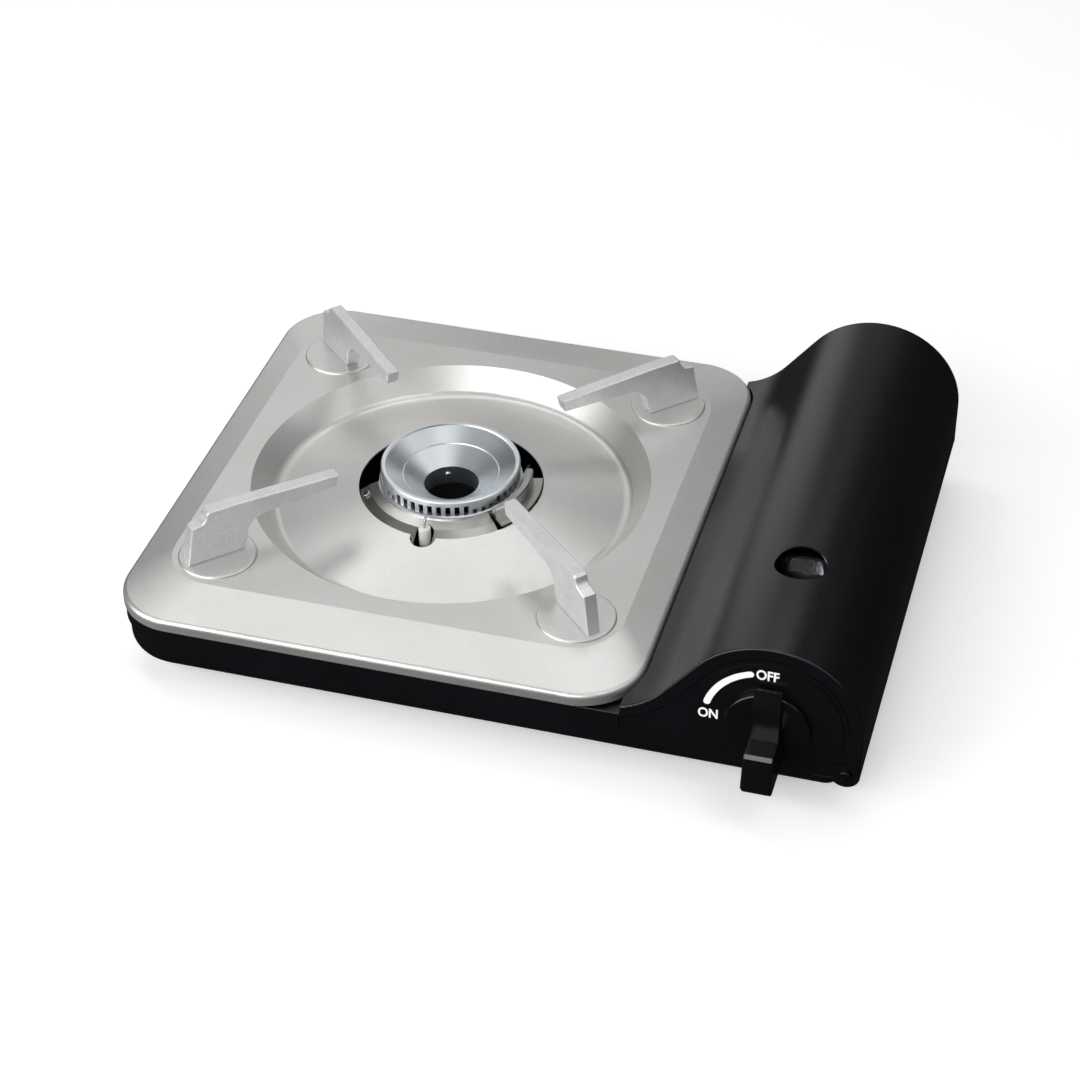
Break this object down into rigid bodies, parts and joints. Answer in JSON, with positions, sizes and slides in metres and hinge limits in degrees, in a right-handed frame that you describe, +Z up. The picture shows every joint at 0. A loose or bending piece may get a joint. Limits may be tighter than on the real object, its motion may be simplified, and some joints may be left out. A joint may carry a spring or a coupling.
{
  "type": "camping stove",
  "caption": "Slim table-top cassette-gas stove: lift-off drip plate with diagonal pan supports, round burner, hinged canister cover with window, rotary ignition knob.",
  "frame": {"origin": "middle of the bounding box, on the surface that the feet stand on", "axes": "+X to the right, towards the canister cover; +Y to the rear; +Z up; the knob faces -Y"},
  "size_m": [0.341, 0.283, 0.084],
  "materials": {
    "body_paint": "satin black baked paint",
    "cover_paint": "satin black baked paint",
    "dial_print": "satin black, slightly proud plate",
    "plate_coat": "satin pale champagne-silver coating",
    "support_coat": "cast aluminium with silver paint",
    "burner_aluminium": "turned, bright",
    "burner_casting": "dark sand-cast skin",
    "pressed_steel": "dull pressed steel",
    "zinc_steel": "bright zinc-plated sheet",
    "panel_aluminium": "mill finish sheet",
    "screw_steel": "plated screws and rivets",
    "hinge_steel": "black oxide screws",
    "zinc_casting": "die-cast zinc alloy",
    "brass": "machined",
    "spring_steel": "drawn wire",
    "spindle_steel": "turned bar",
    "white_ceramic": "unglazed white ceramic",
    "rubber": "soft moulded",
    "lead_cover": "silicone-covered wire",
    "knob_plastic": "semi-gloss black moulding",
    "inner_plastic": "natural acetal",
    "igniter_plastic": "black nylon",
    "magnet": "plated magnet",
    "tinplate": "bright tinned steel"
  },
  "bodies": {
    "chassis": {"base_pan": "body_paint", "upper_frame": "body_paint", "front_panel": "body_paint", "rear_panel": "body_paint", "dial_plate": "dial_print", "heat_shield": "zinc_steel", "heat_panel": "panel_aluminium", "burner_stand": "pressed_steel", "burner_body": "burner_casting", "burner_base": "pressed_steel", "burner_head": "burner_aluminium", "burner_rivets": "burner_aluminium", "burner_screws": "screw_steel", "flame_guard": "pressed_steel", "electrode_ceramic": "white_ceramic", "electrode_wire": "spring_steel", "electrode_bracket": "pressed_steel", "ignition_lead": "lead_cover", "piezo_housing": "igniter_plastic", "mixing_tube": "zinc_steel", "air_shutter": "zinc_steel", "gas_nozzle": "brass", "regulator_body": "zinc_casting", "regulator_cap": "zinc_casting", "diaphragm": "rubber", "regulator_spring": "spring_steel", "regulator_screws": "screw_steel", "magnet_holder": "zinc_steel", "magnets": "magnet", "canister_saddles": "zinc_steel", "hinge_bracket_front": "zinc_steel", "hinge_bracket_rear": "zinc_steel", "hinge_screws": "hinge_steel", "frame_screws": "screw_steel", "panel_rivets": "screw_steel", "rubber_feet": "rubber", "cover_bumpers": "rubber", "plate_rests": "rubber", "base_screw": "screw_steel"},
    "top_plate": {"drip_plate": "plate_coat", "pan_support_front_left": "support_coat", "pan_support_front_right": "support_coat", "pan_support_rear_left": "support_coat", "pan_support_rear_right": "support_coat", "pan_support_screws": "screw_steel"},
    "cover": {"canister_cover": "cover_paint"},
    "knob": {"control_knob": "knob_plastic", "knob_spindle": "spindle_steel", "knob_cam": "inner_plastic", "knob_clip": "zinc_steel"},
    "plunger": {"piezo_plunger": "inner_plastic"},
    "canister": {"canister_body": "tinplate", "canister_dome": "tinplate", "canister_collar": "tinplate", "canister_base": "tinplate"},
    "stem": {"valve_stem": "brass"}
  },
  "joints": [
    {"name": "cover_hinge", "type": "hinge", "parent": "chassis", "child": "cover", "pos_m": [0.164, 0.0085, 0.023], "axis": [0, 1, 0], "range_deg": [0, 95]},
    {"name": "knob_turn", "type": "hinge", "parent": "chassis", "child": "knob", "pos_m": [0.1303, -0.115, 0.0435], "axis": [0, -1, 0], "range_deg": [0, 90]},
    {"name": "igniter_push", "type": "slide", "parent": "chassis", "child": "plunger", "axis": [-1, 0, 0], "range_m": [0, 0.004]},
    {"name": "canister_draw", "type": "slide", "parent": "chassis", "child": "canister", "axis": [0, 1, 0], "range_m": [0, 0.012]},
    {"name": "stem_release", "type": "slide", "parent": "canister", "child": "stem", "axis": [0, -1, 0], "range_m": [0, 0.003]},
    {"name": "plate_lift", "type": "slide", "parent": "chassis", "child": "top_plate", "axis": [0, 0, 1], "range_m": [0, 0.06]}
  ],
  "couplings": [
    {"joint": "igniter_push", "follows": "knob_turn", "m_per_rad": 0.00254},
    {"joint": "stem_release", "follows": "canister_draw", "ratio": 0.25}
  ]
}
